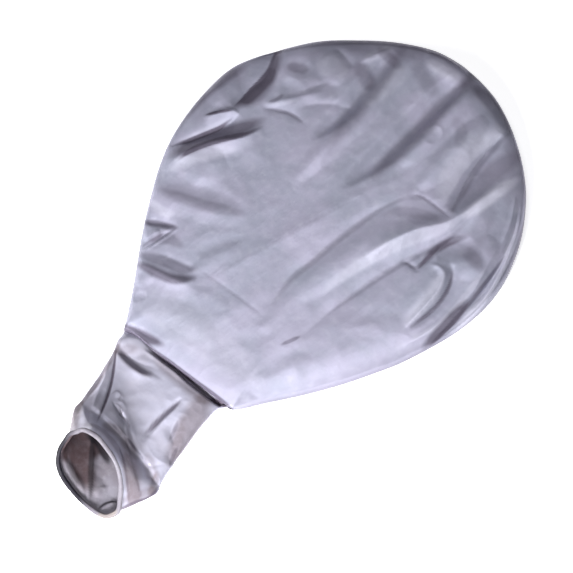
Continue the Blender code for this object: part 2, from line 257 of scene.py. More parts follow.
# %% List the soft folds of the bag
#   height left right path
SOFT_FOLDS = [
    (2.6, 20, 18, (148, 193), (168, 199), (190, 203), (215, 210), (244, 218)),
    (-1.8, 16, 14, (150, 176), (176, 184), (206, 194), (236, 202)),
    (1.4, 12, 12, (192, 272), (208, 262), (224, 254), (244, 246)),
    (-1.2, 10, 10, (190, 258), (206, 249), (222, 243), (242, 237)),
    (2.0, 18, 18, (392, 218), (370, 232), (346, 248), (318, 268), (296, 290), (280, 314)),
    (5.0, 16, 22, (440, 223), (415, 231), (392, 240), (370, 251), (346, 265), (323, 281), (300, 300)),
    (6.5, 16, 14, (486, 118), (468, 137), (450, 156), (432, 174), (418, 188)),
    (-12.0, 13, 17, (470, 72), (444, 97), (429, 111), (414, 125), (399, 140), (384, 155), (346, 184)),
    (6.5, 15, 15, (478, 90), (462, 104), (446, 120), (431, 135), (416, 150), (400, 166)),
    (6.5, 15, 15, (408, 58), (380, 92), (366, 109), (350, 126), (332, 142), (296, 180)),
    (-9.5, 14, 14, (396, 52), (380, 70), (366, 88), (350, 106), (334, 120), (316, 136)),
    (4.5, 10, 20, (424, 54), (440, 58), (456, 68), (468, 80)),
    (-3.0, 13, 14, (472, 238), (462, 250), (448, 252), (436, 256)),
    (3.5, 16, 16, (492, 236), (484, 252), (472, 266), (458, 276)),
    (2.0, 10, 14, (436, 262), (430, 280), (418, 298), (402, 314)),
    (-1.0, 14, 14, (330, 322), (346, 316), (366, 314), (388, 312)),
    (0.8, 12, 12, (356, 330), (380, 326), (400, 318)),
    (-1.8, 12, 14, (298, 346), (284, 356), (272, 366), (262, 378)),
    (1.0, 12, 14, (310, 356), (298, 368), (288, 380)),
    (-1.0, 14, 14, (240, 338), (256, 340), (270, 332)),
    (1.6, 16, 16, (150, 306), (176, 314), (200, 330), (216, 348)),
    (1.0, 10, 14, (188, 292), (206, 296), (228, 306)),
    (-2.0, 14, 12, (284, 62), (298, 68), (312, 70)),
    (-1.5, 12, 14, (280, 84), (294, 90), (306, 96)),
    (2.6, 18, 18, (322, 56), (334, 68), (342, 84)),
    (1.6, 8, 8, (136, 286), (144, 280), (154, 278)),
    (-1.6, 7, 7, (133, 300), (140, 296), (147, 296)),
    (-1.2, 10, 14, (376, 372), (396, 362), (414, 350)),
    (2.5, 16, 14, (236, 72), (222, 88), (210, 104)),
    (2.5, 20, 22, (226, 160), (206, 168), (184, 172)),
    (-1.2, 20, 20, (262, 160), (244, 178), (236, 196)),
]
print(len(SOFT_FOLDS), "soft folds")

# %% [markdown]
# In the deep creases, along the top and right rim and at the lip's edge, shade is painted into the
# film's colour, and on the crests highlights are painted. These are strokes as well, with a strength
# instead of a height.

# %% List where shade and highlights are painted on the bag
# Painted shade: dark tints in the deep creases, along the top and right rim, and at the lip's edge.
#   strength left right path
BAG_PAINTED_SHADE = [
    (0.9, 15, 2, (280, 42), (274, 56), (268, 70), (260, 80), (250, 90), (241, 100), (232, 108)),
    (0.5, 12, 12, (274, 68), (266, 84), (254, 98), (244, 108)),
    (0.8, 2.5, 2.5, (205, 115), (214, 113), (224, 111), (234, 110)),
    (0.8, 3, 4, (171, 146), (186, 141), (204, 134), (220, 127), (234, 117)),
    (0.75, 5, 3, (176, 162), (190, 152), (206, 145), (224, 140), (246, 135), (264, 126)),
    (0.8, 11, 11, (166, 158), (190, 147), (212, 138), (236, 130), (268, 118)),
    (0.6, 11, 10, (164, 142), (182, 116), (203, 94), (222, 79), (250, 64)),
    (0.2, 26, 26, (192, 132), (226, 98), (266, 76)),
    (0.35, 8, 8, (286, 66), (298, 68), (310, 70)),
    (0.5, 3, 3, (268, 102), (276, 100), (284, 94)),
    (0.45, 3, 3, (266, 109), (280, 111), (294, 116), (304, 124)),
    (0.35, 8, 10, (154, 188), (172, 194), (196, 202), (226, 210), (248, 214)),
    (0.7, 5, 6, (140, 222), (154, 223), (168, 226), (180, 229)),
    (0.4, 9, 9, (146, 240), (158, 238), (172, 240), (184, 248)),
    (0.5, 9, 7, (134, 254), (150, 258), (168, 264), (184, 270), (200, 268)),
    (0.5, 3, 3, (141, 247), (152, 241), (164, 233)),
    (0.8, 9, 7, (132, 262), (146, 268), (160, 275), (176, 280), (198, 278)),
    (0.45, 14, 16, (408, 44), (390, 66), (372, 92), (360, 107), (346, 126), (326, 150)),
    (0.55, 13, 13, (478, 70), (458, 92), (442, 106), (428, 122), (414, 137), (398, 152), (366, 184)),
    (0.45, 7, 3, (510, 132), (495, 146), (482, 160), (470, 177), (461, 194), (450, 215)),
    (0.42, 16, 15, (526, 150), (509, 161), (492, 174), (475, 191), (458, 212)),
    (0.2, 12, 16, (498, 196), (486, 222), (476, 244), (478, 276)),
    (0.4, 4, 5, (236, 66), (266, 55), (300, 46), (340, 42), (376, 42), (412, 46), (440, 55),
     (464, 68), (486, 88)),
    (0.4, 5, 4, (464, 68), (484, 86), (501, 109), (513, 134), (521, 160), (525, 184),
     (526, 208), (524, 232)),
    (0.6, 6, 7, (470, 236), (450, 242), (434, 252), (418, 270)),
    (0.4, 13, 13, (436, 250), (454, 249), (470, 255), (486, 274)),
    (0.45, 10, 10, (470, 84), (486, 98), (500, 116), (512, 138)),
    (0.25, 10, 10, (452, 116), (462, 132), (456, 150)),
    (0.3, 12, 12, (356, 60), (366, 78), (372, 92)),
    (0.3, 12, 12, (412, 62), (428, 84), (438, 98)),
    (0.25, 8, 8, (376, 48), (392, 60), (404, 72)),
    (0.2, 14, 14, (288, 62), (316, 84), (340, 96)),
    (0.5, 2, 3, (411, 194), (424, 198), (436, 207), (450, 218)),
    (0.7, 3, 3, (280, 345), (290, 341), (301, 336)),
    (0.2, 2, 2, (198, 269), (220, 284), (244, 302), (264, 317)),
    (0.3, 30, 16, (330, 46), (400, 48), (450, 66), (490, 106)),
    (0.3, 7, 9, (380, 215), (402, 211), (424, 214), (444, 221)),
    (0.5, 3, 3, (404, 262), (416, 268), (427, 258), (440, 247)),
    (0.75, 4, 3, (453, 268), (449, 286), (436, 306), (410, 328)),
    (0.7, 3, 4, (508, 252), (494, 272), (474, 298), (454, 322), (428, 348)),
    (0.85, 7, 9, (469, 299), (450, 321), (437, 335), (421, 351)),
    (0.5, 3, 3, (527, 190), (526, 216), (518, 246), (504, 276), (484, 306)),
    (0.2, 3, 3, (206, 282), (240, 261), (282, 239), (330, 212), (360, 198)),
    (0.3, 6, 4, (406, 197), (376, 212), (340, 238), (312, 262), (288, 282), (268, 310)),
    (0.3, 5, 5, (478, 210), (446, 240), (405, 262), (377, 279), (350, 298), (322, 318)),
    (0.9, 8, 9, (108, 322), (124, 328), (138, 333), (150, 339), (166, 346)),
    (0.5, 4, 4, (119, 329), (127, 332), (136, 337), (146, 344), (156, 352)),
    (1.0, 3, 8, (126, 330), (149, 347), (170, 362), (190, 377), (212, 393), (231, 407), (244, 417)),
    (0.25, 30, 30, (300, 60), (340, 60), (380, 70)),
]
# Painted highlights: pale tints on the crests and on the slopes that face the light.
BAG_PAINTED_HIGHLIGHTS = [
    (0.25, 44, 18, (132, 296), (176, 328), (226, 364), (264, 386)),
    (0.25, 4, 6, (176, 141), (192, 136), (210, 128), (230, 117)),
    (0.8, 10, 9, (522, 176), (500, 190), (480, 205), (460, 219)),
    (0.4, 8, 12, (470, 212), (440, 230), (412, 240), (384, 252), (350, 272), (318, 296)),
    (0.5, 4, 16, (446, 268), (440, 287), (427, 306), (403, 329)),
    (0.4, 4, 5, (488, 266), (470, 290), (452, 312), (434, 328), (402, 345)),
    (0.6, 10, 10, (426, 60), (444, 70), (462, 80)),
    (0.3, 8, 8, (362, 60), (378, 54), (394, 47)),
    (0.3, 16, 16, (314, 62), (334, 66), (348, 78)),
    (0.3, 16, 12, (362, 108), (390, 84), (410, 66)),
    (0.5, 5, 26, (508, 128), (492, 141), (475, 155), (461, 171), (450, 191), (442, 208)),
    (0.2, 3, 3, (268, 106), (282, 104), (298, 100)),
    (0.6, 6, 7, (520, 214), (513, 240), (503, 265), (487, 294), (464, 322), (446, 338)),
    (0.4, 10, 12, (166, 172), (186, 160), (210, 152), (240, 148)),
    (0.4, 8, 8, (150, 200), (160, 210), (176, 216)),
]
# Counts of the painted-shade strokes and the painted-highlight strokes.
print(len(BAG_PAINTED_SHADE), "dull strokes and", len(BAG_PAINTED_HIGHLIGHTS), "polished ones")


# %% [markdown]
# A crisp fold has a kink along its path and a soft one a rounded top. Both are strongest in their
# middle, and narrow and fade towards their ends. A cloth simulation folds a skin too, but at random.

# %% Walk along a path
def walk_along(curve, spots):
    """How far each spot is from the curve, on which side and how far along, and the length."""
    starts, ends = curve[:-1], curve[1:]
    lengths = np.hypot(*(ends - starts).T)
    travelled = np.concatenate(((0.0,), np.cumsum(lengths)))
    nearest = np.full(len(spots), np.inf)
    side = np.zeros(len(spots))
    along = np.zeros(len(spots))
    for start, end, length, before in zip(starts, ends, lengths, travelled):
        way = (end - start) / length
        offset = spots - start
        share = np.clip(offset @ way, 0.0, length)
        distance = np.hypot(*(offset - share[:, None] * way).T)
        closer = distance < nearest
        nearest[closer] = distance[closer]
        side[closer] = (way[0] * offset[:, 1] - way[1] * offset[:, 0])[closer]
        along[closer] = (before + share)[closer]
    return nearest, side, along, travelled[-1]


# %% Turn strokes into heights and tints
PATH_STEPS = 5
KINK_PIXELS = 0.8
FLANK_SPREAD, FLANK_SHARE = 2.2, 0.4
END_FADE = 0.35
END_WIDTH, END_STRENGTH = 0.45, 0.08
TINT_GAIN, TINT_CUT = 1.6, 0.1


def stroke(pixels, crisp, left, right, *path):
    """How much of a stroke is felt at each pixel: 1 in its middle and 0 away from it."""
    curve = spline_through(path, PATH_STEPS)
    reach = max(left, right) * (FLANK_SPREAD if crisp else 1.0)
    low, high = curve.min(axis=0) - reach, curve.max(axis=0) + reach
    near = np.flatnonzero(((pixels > low) & (pixels < high)).all(axis=1))
    distance, side, along, length = walk_along(curve, pixels[near])
    from_end = unit(np.minimum(along, length - along) / (END_FADE * length))
    strength = from_end * (2 - from_end)
    width = np.where(side < 0, left, right) * (END_WIDTH + (1 - END_WIDTH) * strength)
    if crisp:
        run = (np.sqrt(distance**2 + KINK_PIXELS**2) - KINK_PIXELS) / width
        core = unit(1 - run) ** 2
        flank = unit(1 - run / FLANK_SPREAD) ** 2
        section = (1 - FLANK_SHARE) * core + FLANK_SHARE * flank
    else:
        section = unit(1 - (distance / width) ** 2) ** 2
    felt = np.zeros(len(pixels))
    felt[near] = (END_STRENGTH + (1 - END_STRENGTH) * strength) * section
    return felt


def relief(pixels, crisp_strokes, soft_strokes=()):
    """The height of all the folds at each pixel, in metres."""
    crisp = sum(height / 1000 * stroke(pixels, True, *shape) for height, *shape in crisp_strokes)
    soft = sum(height / 1000 * stroke(pixels, False, *shape) for height, *shape in soft_strokes)
    return crisp + soft


# Used for brown tints, painted shade and painted highlights.
def stroke_tint(pixels, strokes):
    """The strokes as a tint from 0 to 1: each is even in its middle and fades at its edges."""
    total = np.zeros(len(pixels))
    for strength, *shape in strokes:
        total += strength * unit(TINT_GAIN * stroke(pixels, False, *shape) - TINT_CUT)
    return unit(total)


def paint(piece, name, values):
    """Stores a value for each point, for the material to read."""
    piece.data.attributes.new(name, "FLOAT", "POINT").data.foreach_set("value", values)


upper_left = relief(np.array([(252.0, 86.0)]), CRISP_FOLDS, SOFT_FOLDS)
print("the crease at the upper left is", (upper_left * 1000).round(1), "mm deep")


# %% [markdown]
# Latex that has been packed away also carries a random crumple at every size. It comes from smooth
# noise, stretched along the bag, with the sharp side of its crests kept.

# %% Make the random crumple
CREST_SHARPNESS = 2.2
LAYER_SHIFT = 7.3


def crumple(points, sizes, heights, middle, stretch, seed):
    """A random height at each point, one layer of noise for each size, less their middle."""
    total = np.zeros(len(points))
    for index, point in enumerate(points):
        for layer, (size, height) in enumerate(zip(sizes, heights)):
            x, y = point[0] / size / stretch[0], point[1] / size / stretch[1]
            value = noise.noise(Vector((x, y, seed + LAYER_SHIFT * layer)))
            total[index] += height * (1.0 - CREST_SHARPNESS * abs(value))
    return total - middle


# %% [markdown]
# ## The bag's upper skin
#
# This is the upper half of one seamless film. A square grid is bent onto a disc and the disc is
# stretched to the outline. Rings round a centre would crowd there. The bent grid stays even, so
# folds can run anywhere.

# %% Make meshes from grids
def grid_faces(rows, columns, closed=False, looped=False):
    """A grid's faces. Closed joins the last column to the first, and looped the last row."""
    row, column = np.indices((rows if looped else rows - 1, columns if closed else columns - 1))
    next_row, next_column = (row + 1) % rows, (column + 1) % columns
    corners = ((row, column), (row, next_column), (next_row, next_column), (next_row, column))
    return np.stack([r * columns + c for r, c in corners], axis=-1).reshape(-1, 4)


def new_piece(name, points, faces):
    mesh = bpy.data.meshes.new(name)
    mesh.from_pydata(points.tolist(), [], faces.tolist())
    mesh.shade_smooth()
    piece = add_object(name, mesh)
    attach(piece, "root")
    return piece


def disc_grid(rows, columns, edge_density):
    """A grid on the unit disc: a square whose sides are bent out, with more lines near the edge."""
    even = [np.linspace(-1, 1, count) for count in (rows, columns)]
    denser = [(1 - edge_density) * line + edge_density * np.sin(line * math.pi / 2) for line in even]
    down, across = np.meshgrid(*denser, indexing="ij")
    x = across * np.sqrt(1 - down**2 / 2)
    y = down * np.sqrt(1 - across**2 / 2)
    return x.ravel(), y.ravel()


def spread_on_outline(x, y):
    """The disc stretched to the outline, how far in from the edge each point is, and its angle."""
    share = np.minimum(np.hypot(x, y), 1.0)
    angle = np.arctan2(y, x)
    reach = edge_radius(angle)
    ways = np.stack((np.cos(angle), np.sin(angle)), axis=-1)
    return CENTRE + (share * reach)[:, None] * ways, (1 - share) * reach, angle


# %% [markdown]
# Seen from its side the skin swells like a pillow: a tight turn at its edge, then a wide round, and
# nearly level inside. The lip turns more tightly at its left end than at its right one.

# %% Shape the upper skin
UPPER_GRID, UPPER_EDGE_DENSITY = (300, 280), 0.55
BAG_TOP = 0.0425
EDGE_ROUND = 0.060
FOLD_TURN = 0.004
LIP_TURN_LEFT, LIP_TURN_RIGHT = 0.0012, 0.0036
LIP_LEFT_END, LIP_RIGHT_END = -0.08, 0.13


def quarter_round(run):
    return np.sqrt(1 - (1 - unit(run)) ** 2)


def turn_radius(angle, across):
    """How tightly the skin turns under at its edge."""
    lip_turn = np.interp(across, (LIP_LEFT_END, LIP_RIGHT_END), (LIP_TURN_LEFT, LIP_TURN_RIGHT))
    share = lip_share(angle)
    return FOLD_TURN * (1 - share) + lip_turn * share


x, y = disc_grid(*UPPER_GRID, UPPER_EDGE_DENSITY)
flat, inward, angle = spread_on_outline(x, y)
edge, on_lip, turn = edge_height(angle), lip_share(angle), turn_radius(angle, flat[:, 0])
swell = quarter_round(inward / EDGE_ROUND) ** (1 + on_lip)
height = edge + turn * quarter_round(inward / turn) + (BAG_TOP - edge - turn) * swell
surface = np.column_stack((flat, height))
print("without its folds it is", height.max().round(4), "m high")

# %% [markdown]
# The folds and the crumple are added to its height. They grow from nothing at the edge to their
# full height 12 mm further in, so the edge stays on its outline.

# %% Fold the upper skin
FULL_FOLDS_FROM = 0.012
FOLDS_GROWTH = 0.7
#   sizes, heights, middle, stretch, seed
BAG_CRUMPLE = (0.10, 0.042), (0.0011, 0.0004), 0.0005, (0.8, 1.25), 3.0

from_edge = unit(inward / FULL_FOLDS_FROM) ** FOLDS_GROWTH
folds = relief(to_picture(surface), CRISP_FOLDS, SOFT_FOLDS)
surface[:, 2] += folds * from_edge
surface[:, 2] += crumple(flat, *BAG_CRUMPLE) * from_edge
print("with its folds it is", surface[:, 2].max().round(4), "m high")

# %% [markdown]
# The grid's border is then carried on round the edge's lower side. On the lip it runs back about
# 20 mm underneath, where the pleat is, and on the side fold it only tucks into the lower skin.

# %% Turn the skin under at its edge
TURN_STEPS, TUCK_STEPS = 6, 5
SIDE_TUCK, PLEAT_TUCK = 0.001, 0.020

number = np.arange(len(surface)).reshape(UPPER_GRID)
border = np.concatenate((number[0, :-1], number[:-1, -1], number[-1, :0:-1], number[:0:-1, 0]))
rim = surface[border]
along_rim = np.roll(rim, -1, axis=0) - np.roll(rim, 1, axis=0)
into_bag = np.column_stack((-along_rim[:, 1], along_rim[:, 0], np.zeros(len(rim))))
into_bag /= np.linalg.norm(into_bag, axis=1, keepdims=True)
into_bag *= np.sign(((CENTRE - rim[:, :2]) * into_bag[:, :2]).sum(axis=1))[:, None]
downward = np.array((0.0, 0.0, -1.0))
rim_turn = turn[border][:, None]
tuck = (SIDE_TUCK + PLEAT_TUCK * on_lip[border])[:, None]
bends = [math.pi / 2 * step / TURN_STEPS for step in range(1, TURN_STEPS + 1)]
hem = [rim + rim_turn * (into_bag * (1 - math.cos(bend)) + downward * math.sin(bend)) for bend in bends]
hem += [hem[-1] + into_bag * tuck * step / TUCK_STEPS for step in range(1, TUCK_STEPS + 1)]
print("the hem has", len(hem), "rings of", len(border), "points")

# %% Make the upper skin
hem_numbers = len(surface) + np.arange(len(border) * len(hem)).reshape(len(hem), -1)
rings = np.vstack((border, hem_numbers))
hem_faces = rings.ravel()[grid_faces(*rings.shape, closed=True)]
skin_faces = np.vstack((grid_faces(*UPPER_GRID), hem_faces[:, ::-1]))
upper_skin = new_piece("bag_upper_skin", np.vstack((surface, *hem)), skin_faces)
skin_place = to_picture(np.array([vertex.co for vertex in upper_skin.data.vertices]))
# Painted highlights and painted shade, stored on the skin for the material to read.
paint(upper_skin, "worn", stroke_tint(skin_place, BAG_PAINTED_HIGHLIGHTS))
paint(upper_skin, "dull", stroke_tint(skin_place, BAG_PAINTED_SHADE))
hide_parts("envelope_upper_wall", "shoulder_pleat")
print("the upper skin has", len(upper_skin.data.polygons), "faces")

# %% [markdown]
# ## The bag's lower skin
#
# Underneath, the film lies on the floor and only its rim turns up to meet the side fold. Below the
# lip it runs on flat, as the neck's underside. It is hidden, so a plain sheet is enough.

# %% Shape the lower skin
LOWER_GRID, LOWER_EDGE_DENSITY = (150, 136), 0.75
FLOOR_ROUND = 0.014
LOWER_DRAWN_IN = 0.6
LEVEL_UNDER_LIP = 4

x, y = disc_grid(*LOWER_GRID, LOWER_EDGE_DENSITY)
flat, inward, angle = spread_on_outline(x, y)
turned_up = edge_height(angle) * (1 - lip_share(angle) ** LEVEL_UNDER_LIP)
drawn_in = 1 - LOWER_DRAWN_IN * (edge_height(angle) - SIDE_FOLD) / edge_radius(angle)
flat = CENTRE + (flat - CENTRE) * drawn_in[:, None]
surface = np.column_stack((flat, turned_up * (1 - quarter_round(inward / FLOOR_ROUND))))
lower_skin = new_piece("bag_lower_skin", surface, grid_faces(*LOWER_GRID)[:, ::-1])
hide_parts("envelope_lower_wall")
print("the lower skin has", len(lower_skin.data.polygons), "faces")

# %% [markdown]
# ## The mouth
#
# The mouth stands up as a leaning hoop, because its rolled edge is stiffer than the film. The
# pixels follow the middle of that edge, and each is put where its line of sight meets the hoop's
# plane. A tilted circle wouldn't do, because this mouth is out of round.

# %% Place the mouth's hoop
MOUTH_CENTRE = np.array((0.029, -0.543, 0.0635))
MOUTH_TILT = math.radians(37.5)
MOUTH_ROLL = math.radians(32.3)
HOOP_STEPS = 12
BEAD_PIXELS = [
    (76, 432), (84, 430), (96, 436), (105, 446), (114, 459), (119, 472), (121, 486), (120, 499),
    (118, 511), (109, 516), (101, 515), (90, 508), (78, 497), (66, 482), (60, 471), (58, 460),
    (60, 449), (66, 439), (70, 434),
]
to_right = np.array((1.0, 0.0, 0.0))
slope_up = np.array((0.0, math.sin(MOUTH_TILT), math.cos(MOUTH_TILT)))
mouth_across = to_right * math.cos(MOUTH_ROLL) - slope_up * math.sin(MOUTH_ROLL)
mouth_up = to_right * math.sin(MOUTH_ROLL) + slope_up * math.cos(MOUTH_ROLL)
mouth_out = np.cross(mouth_across, mouth_up)

hoop = spline_through(onto_plane(BEAD_PIXELS, MOUTH_CENTRE, mouth_out), HOOP_STEPS, closed=True)
hoop_up, hoop_across = (hoop - MOUTH_CENTRE) @ mouth_up, (hoop - MOUTH_CENTRE) @ mouth_across
hoop_angles, hoop_reach = np.arctan2(hoop_up, hoop_across), np.hypot(hoop_up, hoop_across)


def hoop_point(angle, scale=1.0):
    """The hoop at any angle, as it is or drawn in towards the mouth's centre."""
    reach = np.interp(angle, hoop_angles, hoop_reach, period=math.tau) * scale
    spokes = np.cos(angle)[:, None] * mouth_across + np.sin(angle)[:, None] * mouth_up
    return MOUTH_CENTRE + reach[:, None] * spokes


print("the hoop reaches from", hoop.min(axis=0).round(3), "to", hoop.max(axis=0).round(3))

# %% [markdown]
# ## The neck
#
# The neck is a short flattened tube that rises to the mouth, so a loft through a few rings suits
# it. Each station is a closed ring through its left fold, its right fold and its top, each given by
# its pixel and its height in millimetres, and a bottom on the floor halfway between the folds. Sag
# draws that bottom towards the mouth, in millimetres. Fullness is how square the ring's left and
# right halves are: 2 is an oval.

# %% List the neck's stations
#    left fold        right fold       top              sag  fullness
NECK_STATIONS = [
    ((131, 322, 12), (238, 400, 9), (190, 352, 20), 0, (3.0, 2.6)),
    ((126, 330, 14), (236, 404, 9), (182, 362, 20), 0, (3.6, 2.6)),
    ((121, 338, 16), (218, 409, 10), (168, 375, 25), 0, (4.2, 2.6)),
    ((117, 346, 17), (210, 416, 11), (160, 384, 27), 0, (4.0, 2.8)),
    ((109, 360, 18), (198, 430, 11), (152, 397, 29), 0, (3.6, 2.8)),
    ((100, 374, 20), (184, 449, 11), (142, 412, 30), 1, (3.2, 2.8)),
    ((92, 386, 23), (170, 468, 11), (136, 428, 31), 4, (2.8, 2.6)),
    ((82, 400, 30), (158, 485, 11), (133, 442, 33), 10, (2.5, 2.4)),
    ((74, 410, 42), (149, 497, 12), (131, 452, 35), 22, (2.3, 2.2)),
]
FLOOR_FILM = 0.001
AROUND = 240
FILM_END = 0.985
COLLAR_DEPTH = 0.014


def neck_station(angle, left, right, top, sag, fullness):
    corners = np.array((left, right, top), float)
    left, right, top = at_height(corners[:, :2], corners[:, 2] / 1000)
    middle = (left + right) / 2
    bottom = np.array((middle[0], middle[1] - sag / 1000, FLOOR_FILM))
    power = 2 / np.where(np.cos(angle) < 0, fullness[0], fullness[1])
    across = np.sign(np.cos(angle)) * np.abs(np.cos(angle)) ** power
    upright = np.sign(np.sin(angle)) * np.abs(np.sin(angle)) ** power
    vertical = np.where(upright[:, None] > 0, top - middle, middle - bottom)
    return middle + across[:, None] * (right - left) / 2 + upright[:, None] * vertical


sweep = np.linspace(0, math.tau, AROUND, endpoint=False)
stations = [neck_station(sweep, *station) for station in NECK_STATIONS]
film_end = hoop_point(sweep, FILM_END)
stations = np.stack(stations + [film_end - mouth_out * COLLAR_DEPTH, film_end])
print(len(stations), "stations of", AROUND, "points")

# %% [markdown]
# The neck has folds of its own, outside and inside the mouth.

# %% List the neck's folds
NECK_FOLDS = [
    (-1.8, 5, 7, (116, 342), (125, 352), (134, 360), (145, 365), (156, 367)),
    (6.0, 8, 12, (114, 350), (122, 360), (130, 368), (141, 375), (155, 376)),
    (-3.8, 3, 3, (117, 350), (114, 368), (110, 388), (104, 406), (97, 424)),
    (3.6, 4, 4, (110, 362), (105, 378), (98, 394), (90, 414)),
    (-3.6, 5, 5, (104, 372), (97, 384), (88, 397)),
    (-2.4, 4, 4, (90, 412), (88, 424), (84, 434)),
    (3.6, 5, 5, (82, 404), (84, 416), (90, 426), (98, 430)),
    (1.4, 3, 3, (115, 397), (119, 393), (123, 399)),
    (1.4, 3, 3, (117, 405), (121, 401), (126, 409)),
    (-3.0, 3, 3, (113, 402), (118, 409), (124, 417), (129, 427)),
    (-3.4, 7, 8, (118, 402), (122, 415), (127, 436), (131, 451), (136, 470), (139, 484), (143, 499)),
    (1.9, 5, 4, (121, 405), (129, 423), (135, 441)),
    (-4.3, 5, 5, (182, 398), (171, 408), (161, 418), (150, 431), (141, 442)),
    (3.0, 5, 6, (182, 403), (170, 414), (158, 426), (150, 436)),
    (-2.6, 8, 8, (178, 418), (171, 431), (174, 444), (169, 455), (173, 466)),
    (-1.2, 4, 4, (136, 460), (148, 466), (162, 464)),
    (-1.4, 3, 3, (144, 474), (151, 477), (157, 484)),
    (-6.0, 8, 6, (150, 349), (170, 364), (190, 379), (210, 395), (226, 407)),
    (-10.8, 9, 6, (176, 368), (190, 379), (204, 390), (218, 401), (232, 411)),
    (3.0, 3, 4, (143, 350), (165, 365), (187, 382), (206, 396), (220, 407)),
]
NECK_SOFT_FOLDS = [(5.4, 8, 20, (114, 348), (121, 343), (130, 340), (138, 342), (148, 349))]
MOUTH_FOLDS = [
    (7.2, 7, 5, (93, 436), (92, 452), (91, 470), (90, 488), (89, 500)),
    (6.0, 6, 5, (64, 458), (70, 470), (77, 482), (84, 494)),
    (4.8, 5, 5, (98, 514), (104, 509), (111, 505), (118, 503)),
    (3.6, 5, 6, (96, 498), (100, 490), (108, 487)),
]
print(len(NECK_FOLDS), "folds outside and", len(MOUTH_FOLDS), "inside the mouth")

# %% [markdown]
# The pigment is thin on the neck, and brown latex shows through it. Where the neck and the inside
# of the mouth turn from the light, that brown is laid darker as painted shade. Painted shade also
# fills the slot under the lip, the creases, the deep inside of the mouth and the bead's left arc.
# These are strokes as well.

# %% List the brown tints and the painted shade
# Brown latex tone, laid darker as painted shade where the neck turns from the light.
#   strength left right path
NECK_BROWN_AND_SHADE = [
    (0.6, 12, 12, (121, 428), (127, 444), (131, 460), (133, 476), (134, 492), (134, 512)),
    (0.8, 10, 10, (124, 452), (131, 474), (133, 490), (134, 508)),
    (0.6, 6, 6, (158, 470), (155, 482), (149, 496)),
    (0.2, 8, 8, (184, 414), (180, 430), (177, 448), (173, 466)),
    (0.6, 14, 14, (150, 352), (175, 372), (200, 392), (216, 406)),
    (0.65, 20, 16, (208, 390), (196, 412), (186, 430), (178, 448), (168, 468)),
    (0.8, 9, 9, (82, 396), (76, 410), (73, 426), (72, 440)),
    (0.6, 4, 4, (124, 338), (106, 369), (92, 389), (77, 410), (71, 430)),
    (0.5, 7, 7, (101, 424), (112, 428), (124, 434)),
    (0.6, 9, 9, (120, 502), (134, 498), (146, 494), (156, 486)),
    (0.4, 9, 9, (146, 452), (151, 468), (154, 482)),
    (0.4, 7, 7, (113, 338), (118, 352), (128, 350), (140, 350)),
]
# Painted shade: the slot under the lip, the neck's creases and the sides of its folds away from the
# light.
NECK_PAINTED_SHADE = [
    (0.8, 1.6, 3, (146, 346), (160, 356), (176, 366), (196, 380)),
    (0.4, 6, 5, (176, 366), (192, 378), (206, 389), (220, 400), (236, 413)),
    (0.9, 6, 5, (208, 394), (220, 403), (230, 408), (244, 415)),
    (0.75, 5, 4, (182, 399), (171, 409), (161, 418), (145, 434)),
    (0.9, 2.2, 2.2, (117, 346), (114, 366), (111, 384), (105, 403), (96, 424)),
    (0.4, 2.5, 1.5, (121, 430), (128, 446), (133, 464), (138, 484), (142, 500)),
    (0.5, 1.6, 1.6, (118, 444), (124, 462), (127, 480), (129, 502)),
    (0.9, 4, 4, (110, 514), (124, 508), (136, 503), (150, 498), (160, 484)),
    (0.35, 1.6, 1.6, (110, 395), (117, 391), (121, 396), (119, 400), (125, 404)),
    (0.5, 1.6, 1.6, (112, 402), (119, 405), (122, 411), (120, 414), (127, 420), (130, 430)),
    (0.25, 3, 2, (126, 424), (131, 440), (136, 452)),
    (0.65, 8, 6, (117, 348), (124, 359), (135, 369), (145, 374), (156, 375)),
    (0.4, 3, 3, (178, 420), (174, 431), (169, 441)),
    (0.5, 3, 3, (178, 446), (173, 457), (169, 468)),
    (0.12, 12, 12, (102, 424), (112, 430), (122, 438)),
    (0.5, 4, 4, (78, 425), (96, 427), (109, 437), (119, 452), (125, 472)),
]
# Brown of the unpigmented inside, deepened as painted shade on the inside's left wall.
MOUTH_BROWN_AND_SHADE = [
    (1.0, 17, 17, (72, 424), (74, 440), (78, 460), (86, 480), (90, 492)),
    (0.8, 7, 7, (72, 430), (64, 440), (62, 452), (66, 464)),
    (1.0, 14, 13, (72, 422), (85, 434), (91, 448), (92, 464)),
    (0.8, 12, 12, (88, 430), (98, 440), (108, 456)),
]
# Painted shade deep inside the mouth and in its folds.
MOUTH_PAINTED_SHADE = [
    (0.9, 7, 7, (84, 432), (95, 440), (103, 451), (110, 466)),
    (0.8, 4, 4, (92, 436), (91, 458), (90, 478), (90, 502)),
    (0.6, 3, 3, (64, 458), (70, 472), (80, 488)),
    (0.8, 2.5, 2.5, (98, 510), (106, 504), (118, 503)),
]
# Painted shade on the bead's left arc.
BEAD_PAINTED_SHADE = [(1.0, 16, 16, (76, 424), (62, 437), (54, 456), (58, 476), (70, 493), (90, 513))]
BEAD_BROWN = [(0.6, 7, 7, (96, 517), (106, 515), (118, 510))]

# %% [markdown]
# The rings between the stations come from the same spline as before, run along the neck.

# %% Loft the neck
NECK_STEPS = 20
lofted = spline_through(stations.reshape(len(stations), -1), NECK_STEPS).reshape(-1, AROUND, 3)
rows = len(lofted)
sideways = np.roll(lofted, -1, axis=1) - np.roll(lofted, 1, axis=1)
normals = np.cross(sideways, np.gradient(lofted, axis=0)).reshape(-1, 3)
normals /= np.linalg.norm(normals, axis=1, keepdims=True)
lofted = lofted.reshape(-1, 3)
towards_eye = -(normals @ look)
neck_place = to_picture(lofted)
print("points that show their outside:", (towards_eye > 0).sum())

# %% [markdown]
# At the mouth one line of sight meets the outside and the inside. Each fold goes only on the side
# that faces the camera, and the last rings before the bead stay smooth.

